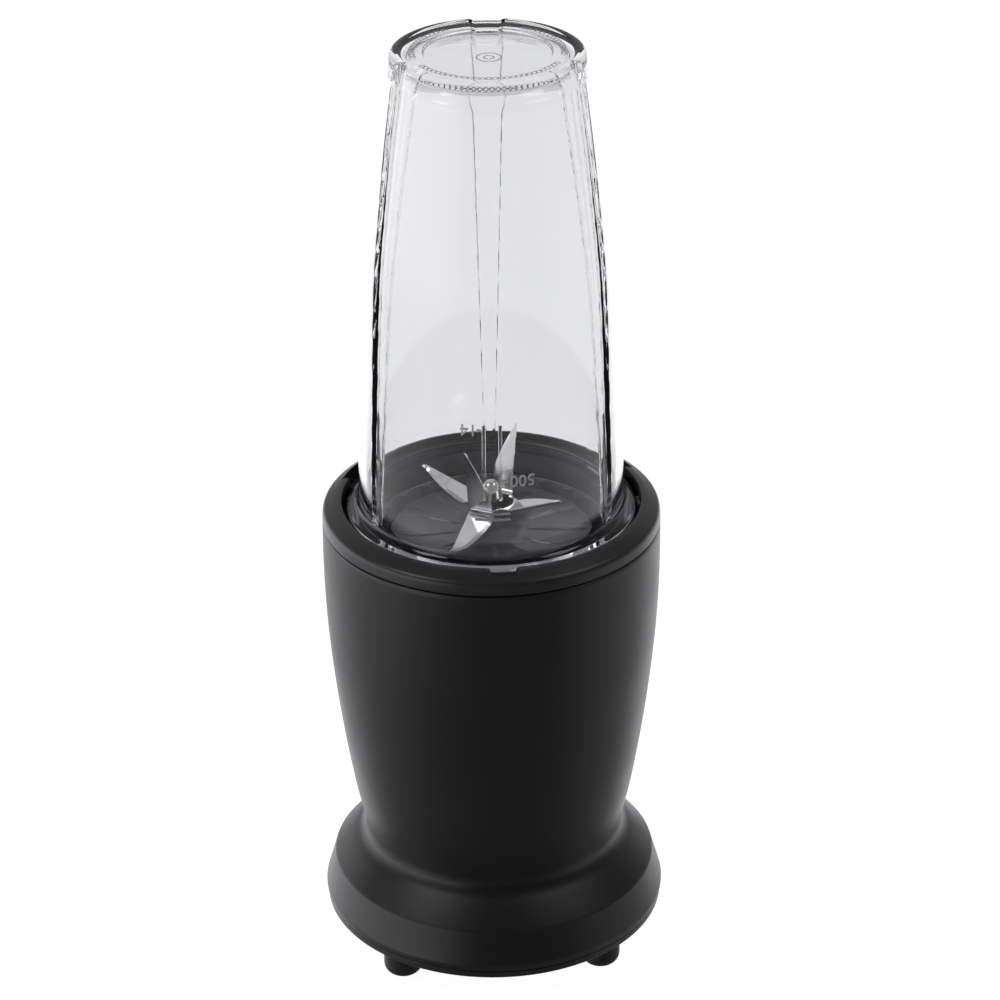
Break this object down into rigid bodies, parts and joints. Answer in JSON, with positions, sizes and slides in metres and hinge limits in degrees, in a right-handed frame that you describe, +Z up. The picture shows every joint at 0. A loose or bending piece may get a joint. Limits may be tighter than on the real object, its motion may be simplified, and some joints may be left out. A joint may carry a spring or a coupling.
{
  "type": "countertop blender",
  "caption": "Personal blender: round motor base with a flared foot, bladed screw-on holder and an inverted clear fluted cup that drops and twists into the base.",
  "frame": {"origin": "centre of the base's footprint, on the surface the feet stand on", "axes": "+Z up along the motor's axis, front of the base (key slot of the collar) towards -Y"},
  "size_m": [0.1172, 0.1169, 0.3204],
  "materials": {
    "housing": "matt black moulded plastic",
    "dark_plastic": "dark grey moulded plastic",
    "inner_plastic": "natural moulded plastic",
    "clear_plastic": "clear polished plastic",
    "blade_steel": "polished stainless steel",
    "plated_steel": "zinc plated",
    "core_steel": "laminated steel",
    "aluminium": "as cast",
    "copper": "enamelled copper wire and copper bars",
    "bronze": "sintered bronze",
    "brass": "pressed brass",
    "carbon": "pressed carbon",
    "rubber": "black rubber",
    "silicone": "grey silicone"
  },
  "bodies": {
    "base": {"body_shell": "housing", "bottom_cover": "housing", "collar": "housing", "well": "dark_plastic", "shaft_seal": "rubber", "motor_deck": "inner_plastic", "switch_case": "housing", "motor_lower_bracket": "aluminium", "motor_upper_bracket": "aluminium", "motor_lower_bearing": "bronze", "motor_upper_bearing": "bronze", "motor_mount_upper": "rubber", "motor_bolt_left": "plated_steel", "motor_bolt_right": "plated_steel", "motor_nut_left": "plated_steel", "motor_nut_right": "plated_steel", "stator_core": "core_steel", "field_coil_front": "copper", "field_coil_back": "copper", "carbon_brush_left": "carbon", "carbon_brush_right": "carbon", "brush_holder_left": "brass", "brush_holder_right": "brass", "brush_spring_left": "plated_steel", "brush_spring_right": "plated_steel", "fan_shroud": "inner_plastic", "cord_grommet": "rubber", "foot_front_right": "rubber", "foot_back_right": "rubber", "foot_back_left": "rubber", "foot_front_left": "rubber", "cover_screw_1": "plated_steel", "cover_screw_2": "plated_steel", "cover_screw_3": "plated_steel", "cover_screw_4": "plated_steel", "interlock_spring_1": "plated_steel", "interlock_spring_2": "plated_steel", "interlock_spring_3": "plated_steel"},
    "rotor": {"motor_shaft": "blade_steel", "armature_core": "core_steel", "armature_winding": "copper", "commutator": "copper", "cooling_fan": "inner_plastic", "drive_coupling": "rubber"},
    "interlock": {"interlock_ring": "inner_plastic"},
    "switch_button": {"switch_plunger": "inner_plastic"},
    "jar_seat": {"thrust_washer": "blade_steel"},
    "blade_unit": {"blade_holder": "dark_plastic", "blade_bush_upper": "bronze", "blade_bush_lower": "bronze", "blade_seal": "silicone"},
    "blades": {"blade_shaft": "blade_steel", "blade_upper": "blade_steel", "blade_lower": "blade_steel", "blade_spacer": "blade_steel", "dome_nut": "blade_steel", "driven_coupling": "plated_steel"},
    "gasket": {"cup_gasket": "silicone"},
    "cup": {"cup": "clear_plastic"}
  },
  "joints": [
    {"name": "motor_spin", "type": "hinge", "parent": "base", "child": "rotor", "pos_m": [0, 0, 0.07], "axis": [0, 0, 1], "continuous": true},
    {"name": "jar_lift", "type": "slide", "parent": "base", "child": "jar_seat", "axis": [0, 0, 1], "range_m": [0, 0.12]},
    {"name": "jar_lock", "type": "hinge", "parent": "jar_seat", "child": "blade_unit", "pos_m": [0, 0, 0.15], "axis": [0, 0, 1], "range_deg": [-22, 0]},
    {"name": "blade_spin", "type": "hinge", "parent": "jar_seat", "child": "blades", "pos_m": [0, 0, 0.15], "axis": [0, 0, 1], "continuous": true},
    {"name": "interlock_press", "type": "slide", "parent": "base", "child": "interlock", "axis": [0, 0, 1], "range_m": [-0.0033, 0], "stiffness_N_per_m": 600, "deforming": ["interlock_spring_1", "interlock_spring_2", "interlock_spring_3"]},
    {"name": "switch_press", "type": "slide", "parent": "base", "child": "switch_button", "axis": [0, 0, 1], "range_m": [-0.0013, 0], "stiffness_N_per_m": 2},
    {"name": "cup_unscrew", "type": "hinge", "parent": "blade_unit", "child": "gasket", "pos_m": [0, 0, 0.15], "axis": [0, 0, 1], "range_deg": [0, 360]},
    {"name": "cup_rise", "type": "slide", "parent": "gasket", "child": "cup", "axis": [0, 0, 1], "range_m": [0, 0.009]}
  ],
  "couplings": [
    {"joint": "blade_spin", "follows": "motor_spin", "ratio": 1},
    {"joint": "interlock_press", "follows": "jar_lock", "m_per_rad": 0.0085},
    {"joint": "switch_press", "follows": "jar_lock", "m_per_rad": 0.0032},
    {"joint": "cup_rise", "follows": "cup_unscrew", "m_per_rad": 0.0013}
  ]
}
